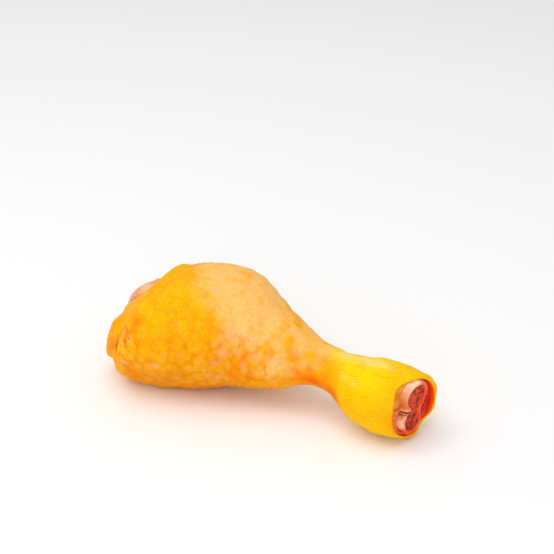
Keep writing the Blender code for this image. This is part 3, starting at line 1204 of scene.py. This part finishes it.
@dataclass(frozen=True)
class CartilageTints:
    """Colours of the cartilage and bone, as screen values."""

    # pearl is the cartilage's own colour, and is also laid on the fold above the crease as painted highlight
    pearl: Tint = (253, 214, 178)
    salmon: Tint = (236, 144, 92)
    orange: Tint = (236, 124, 44)
    # painted shade: dark red laid into the crease between the knuckles
    crease: Tint = (156, 24, 6)
    flush: Tint = (244, 76, 34)
    grain_depth: float = 0.08

    def dress(self) -> bpy.types.Material:
        """Cartilage: pearly and wet, flushed with pink and orange.

        Returns:
            The material.
        """
        shade = Shade("cartilage", Specular_IOR_Level=0.15, Subsurface_Weight=0.1,
                      Subsurface_Radius=(1.4, 0.7, 0.5), Subsurface_Scale=0.0008)
        patch = shade.grain(3.0, 3.0, 0.55)
        tone = shade.mix(patch.ramp(0.34, 0.58), self.pearl, self.salmon)
        names = ("salmon", "pearl", "orange", "flush", "crease")
        layers = [(shade.field(name), getattr(self, name)) for name in names]
        shade.feed("Base Color", shade.laid(tone, layers))
        shade.feed("Roughness", 0.24 + 0.18 * patch)
        shade.feed("Normal", shade.bump(shade.grain(1.1, 3.0, 0.6), self.grain_depth))
        return shade.material


@dataclass
class Bone:
    """Leg bone with cartilage on its round head and round its cut knuckles."""

    form: BoneForm
    tints: CartilageTints
    wall: float = 1.5
    sides: int = 240
    rings: int = 190
    head_rings: int = 40
    rim_rings: int = 7
    rim_bulge: float = 0.35
    hollow_start: float = 8.0
    hollow_rings: int = 60
    crease_depth: float = 1.2
    crease_turn: float = 179.0
    crease_length: float = 9.0
    crease_sag: float = 0.8
    fold_height: float = 0.9
    fold_above: float = 12.0
    wave_height: float = 0.13
    waves_round: float = 26.0
    lump_height: float = 0.18
    swell_turn: float = 128.0

    def near_cut(self, sheet: Sheet, length: float) -> Array:
        """1 at the cut, falling smoothly to 0 at that length behind it."""
        return ease((sheet.along - self.form.middle.length() + length) / 6.0)

    def outside(self) -> Sheet:
        """The outer face, with the crease between the knuckles and fine wrinkles beside it.

        The crease is a groove exp(-(turn from it / 9 degrees)^2) that opens towards the cut, with
        a fold above it. The wrinkles are low waves round the near side, which run along the bone.

        Returns:
            The grid.
        """
        bend = np.linspace(0.0, 1.0, self.head_rings)[1:]
        head = -self.form.head_radius * np.cos(0.5 * math.pi * bend)
        at = np.concatenate([head, np.linspace(0.0, self.form.middle.length(), self.rings)[1:]])
        plain = self.form.sheet(at, self.sides)
        off = self.from_crease(plain)
        near_side = ease(np.cos(away(plain.turn, 145.0)) + 0.3)
        stir = 2.0 * noise(plain.points, 2.6, 83, 2)
        marked = -self.crease_depth * hump(off, 9.0)
        marked += self.fold_height * hump(off + math.radians(self.fold_above), 8.0)
        marked += self.wave_height * np.cos(self.waves_round * plain.turn + stir) * near_side
        marked += self.form.near_swell * hump(away(plain.turn, self.swell_turn), 32.0)
        lumps = self.lump_height * noise(plain.points, 5.0, 89, 2)
        return plain.moved(marked * self.near_cut(plain, 13.0) + lumps)

    def from_crease(self, sheet: Sheet) -> Array:
        """Turn from the crease, which sags between its two ends as a parabola.

        Args:
            sheet: the points.

        Returns:
            The angle of each, in radians.
        """
        back = np.clip(self.form.middle.length() - sheet.along, 0.0, 7.0)
        return away(sheet.turn, self.crease_turn) + math.radians(1.0) * (self.crease_sag * back - 5.0) * back

    def fields(self, sheet: Sheet) -> dict[str, Array]:
        """Where each tint lies: plain salmon along the bone, the rest near the cut.

        Args:
            sheet: the closed grid.

        Returns:
            A field from 0 to 1 for each tint.
        """
        near_cut = self.near_cut(sheet, 14.0)
        off = self.from_crease(sheet)
        back = self.form.middle.length() - sheet.along
        stir = noise(sheet.points, 3.0, 97, 2)
        degrees = np.degrees(sheet.turn)
        # painted highlight: cream on the fold above the crease
        flap_highlight = hump(off + math.radians(self.fold_above), 5.0)
        above = hump(off + math.radians(38.0), 16.0)
        beside = between(degrees, 186.0, 236.0, 14.0) * ease((back - 1.2) / 3.0)
        below = between(degrees + 12.0 * stir, 232.0, 300.0, 16.0)
        far_side = between(np.degrees(away(sheet.turn, 0.0)) + 6.0 * stir, -76.0, 66.0, 12.0)
        top = hump(away(sheet.turn, 92.0), 21.0)
        side_wall = hump(away(sheet.turn, 138.0), 36.0, 4)
        fields = {
            "salmon": (1.0 - near_cut) * (0.65 + 0.5 * stir) + near_cut * side_wall,
            "pearl": near_cut * np.maximum(top * (0.9 + 0.7 * stir), 0.8 * flap_highlight),
            "orange": near_cut * np.maximum(above, beside) * (0.75 + 0.6 * stir),
            "flush": near_cut * np.maximum(below, far_side) * (0.95 + 0.4 * stir),
            # painted shade: dark red in the crease between the knuckles
            "crease": near_cut * hump(off, 8.0, 4) * ease((self.crease_length - back) / 3.0),
        }
        return {name: np.clip(values, 0.0, 1.0) for name, values in fields.items()}

    def build(self) -> None:
        """Makes the bone and dresses it."""
        outer = self.outside()
        at = np.linspace(self.form.middle.length(), self.hollow_start, self.hollow_rings)
        hollow = self.form.sheet(at, self.sides, self.wall)
        bulge = self.rim_bulge * self.form.middle.axes()[0]
        edge = rim(outer.part([-1]), hollow.part([0]), bulge, self.rim_rings)
        sheet = Sheet.joined([outer, edge, hollow])
        piece = make_piece("leg_bone", sheet, Ends.POLES, self.fields(sheet))
        place_piece(piece, "bone", self.tints.dress())


@dataclass(frozen=True)
class CoreTints:
    """Colours of the spongy core, as screen values."""

    dark: Tint = (152, 26, 8)
    red: Tint = (222, 74, 36)
    light: Tint = (248, 138, 98)
    strut_depth: float = 0.15

    def dress(self) -> bpy.types.Material:
        """Spongy bone: wet, dark red, darker in streaks, with lighter struts, and darkest in its pits and
        along its near edge, where the dark is painted shade beside the bone wall.

        Returns:
            The material.
        """
        shade = Shade("spongy core", Specular_IOR_Level=0.1, Subsurface_Weight=0.06,
                      Subsurface_Radius=(1.0, 0.2, 0.15), Subsurface_Scale=0.001)
        strut = shade.grain(0.8, 3.0, 0.65)
        patch = shade.grain(2.4, 3.0, 0.6)
        shade.feed("Base Color", shade.laid(shade.mix(patch.ramp(0.36, 0.60), self.dark, self.red), (
            (strut.ramp(0.50, 0.72) * patch.ramp(0.42, 0.60), self.light), (shade.field("pit_and_edge_shade"), self.dark))))
        shade.feed("Roughness", 0.28 + 0.3 * strut)
        shade.feed("Normal", shade.bump(strut, self.strut_depth))
        return shade.material


@dataclass
class Core:
    """Spongy core of the bone, open to the cut of both knuckles."""

    form: BoneForm
    tints: CoreTints
    wall: float = 1.5
    gap: float = 0.12
    start: float = 8.3
    sink: float = 0.15
    sides: int = 150
    rings: int = 60
    cap_rings: int = 46
    pit_size: float = 1.5
    pit_depth: float = 0.3
    roughness: float = 0.3

    def build(self) -> None:
        """Makes the core and dresses it.

        The cut face is rough with noise, and has pits round the seed points of a cell noise and a
        sunk band along its near edge, painted dark as painted shade beside the bone wall.
        """
        end = self.form.middle.length() - self.sink
        at = np.concatenate([np.linspace(self.start, end, self.rings), np.full(self.cap_rings, end)])
        share = np.concatenate([np.ones(self.rings), np.linspace(1.0, 0.02, self.cap_rings + 1)[1:]])
        sheet = self.form.sheet(at, self.sides, self.wall + self.gap, share)
        far, owner = cells(sheet.points, self.pit_size, 101)
        on_cap = (np.arange(len(share)) >= self.rings)[:, None]
        pits = np.clip(1.0 - (far / 0.4) ** 2, 0.0, 1.0) * (owner > 0.72)
        # painted shade: the near part of the cap's edge, beside the bone wall, is sunk and painted dark
        edge = ease((share[:, None] - 0.70) / 0.2) * ease(0.5 - np.cos(sheet.turn))
        pits = np.maximum(0.8 * pits, 0.9 * edge) * on_cap
        rise = self.roughness * noise(sheet.points, 1.8, 107, 2) * on_cap - self.pit_depth * pits
        sheet.points = sheet.points + rise[..., None] * self.form.middle.axes()[0]
        piece = make_piece("spongy_core", sheet, Ends.POLES, {"pit_and_edge_shade": pits})
        place_piece(piece, "core", self.tints.dress())


@dataclass(frozen=True)
class Studio:
    """Pale floor, soft white light and the camera at the picture's viewing angle."""

    picture: int = 554
    azimuth: float = 30.0
    elevation: float = 30.0
    lens: float = 85.0
    sensor: float = 36.0
    clip: tuple[float, float] = (0.01, 20.0)
    scale: float = 0.38
    looks_at: tuple[float, float, float] = (1.0, 6.1, 18.0)
    seen_at: tuple[float, float] = (272.0, 351.0)
    lit_at: tuple[float, float, float] = (0.0, 0.0, 0.02)
    floor_half: float = 3.0
    floor_colour: tuple[float, float, float, float] = (0.97, 0.97, 0.97, 1.0)
    surround: float = 0.63
    # name, place and size in metres, and power in watts
    lamps: tuple[tuple[str, tuple[float, float, float], float, float], ...] = (
        ("overhead softbox", (-0.15, -0.25, 0.9), 0.9, 4.2),
        ("front softbox", (0.35, -0.9, 0.45), 0.7, 2.0),
    )

    @staticmethod
    def backwards(azimuth: float, elevation: float) -> Array:
        """Unit vector from the object to a camera at those angles, in radians."""
        level = math.cos(elevation)
        return np.array([math.sin(azimuth) * level, -math.cos(azimuth) * level, math.sin(elevation)])

    def camera(self) -> None:
        """Camera whose ray through seen_at meets looks_at, with one picture point scale mm there.

        The optical axis is turned from the viewing direction by the angles of that ray, and the
        camera stays level.
        """
        az, el = math.radians(self.azimuth), math.radians(self.elevation)
        distance = self.picture * self.scale * self.lens / self.sensor
        eye = np.array(self.looks_at) + self.backwards(az, el) * distance
        focal = self.lens / self.sensor * self.picture
        across = (self.seen_at[0] - self.picture / 2) / focal
        upwards = (self.picture / 2 - self.seen_at[1]) / focal
        el += math.atan(upwards)
        az += math.atan(across) / math.cos(math.radians(self.elevation))
        right = np.array([math.cos(az), math.sin(az), 0.0])
        back = self.backwards(az, el)
        data = bpy.data.cameras.new("camera")
        data.lens = self.lens
        data.sensor_width = self.sensor
        data.clip_start, data.clip_end = self.clip
        matrix = np.eye(4)
        matrix[:3, :3] = np.stack([right, np.cross(back, right), back], axis=1)
        matrix[:3, 3] = eye * MM
        camera = bpy.data.objects.new("camera", data)
        camera.matrix_world = Matrix(matrix.tolist())
        bpy.context.scene.collection.objects.link(camera)
        bpy.context.scene.camera = camera

    def lamp(self, name: str, place: tuple[float, float, float], size: float, watts: float) -> None:
        """Square soft light, turned to the object.

        Args:
            name: name of the light.
            place: where it stands, in metres.
            size: its side, in metres.
            watts: its power.
        """
        data = bpy.data.lights.new(name, "AREA")
        data.size = size
        data.energy = watts
        lamp = bpy.data.objects.new(name, data)
        lamp.location = place
        x, y, z = np.subtract(self.lit_at, place)
        lamp.rotation_euler = (math.atan2(math.hypot(x, y), -z), 0.0, math.atan2(x, -y) + math.pi)
        bpy.context.scene.collection.objects.link(lamp)

    def floor(self) -> None:
        """Large pale floor."""
        half = self.floor_half
        mesh = bpy.data.meshes.new("floor")
        corners = [(-half, -half, 0.0), (half, -half, 0.0), (half, half, 0.0), (-half, half, 0.0)]
        mesh.from_pydata(corners, [], [(0, 1, 2, 3)])
        floor = bpy.data.objects.new("floor", mesh)
        bpy.context.scene.collection.objects.link(floor)
        shade = Shade("pale floor", Base_Color=self.floor_colour, Roughness=0.9, Specular_IOR_Level=0.0)
        mesh.materials.append(shade.material)

    def build(self) -> None:
        """Sets up floor, lights, surroundings and camera."""
        self.floor()
        for lamp in self.lamps:
            self.lamp(*lamp)
        world = bpy.data.worlds.new("white surroundings")
        world.use_nodes = True
        background = world.node_tree.nodes["Background"]
        background.inputs["Color"].default_value = (1.0, 1.0, 1.0, 1.0)
        background.inputs["Strength"].default_value = self.surround
        scene = bpy.context.scene
        scene.world = world
        scene.view_settings.view_transform = "Standard"
        self.camera()


def main() -> None:
    """Builds the drumstick's pieces and the studio, in order."""
    logging.basicConfig(level=logging.INFO, format="%(name)s: %(message)s")
    leg, bone = LegForm(), BoneForm()
    Skin(leg, SkinTints()).build()
    Flesh(leg, bone, FleshTints()).build()
    Bone(bone, CartilageTints()).build()
    Core(bone, CoreTints()).build()
    Studio().build()


if __name__ == "__main__":
    main()
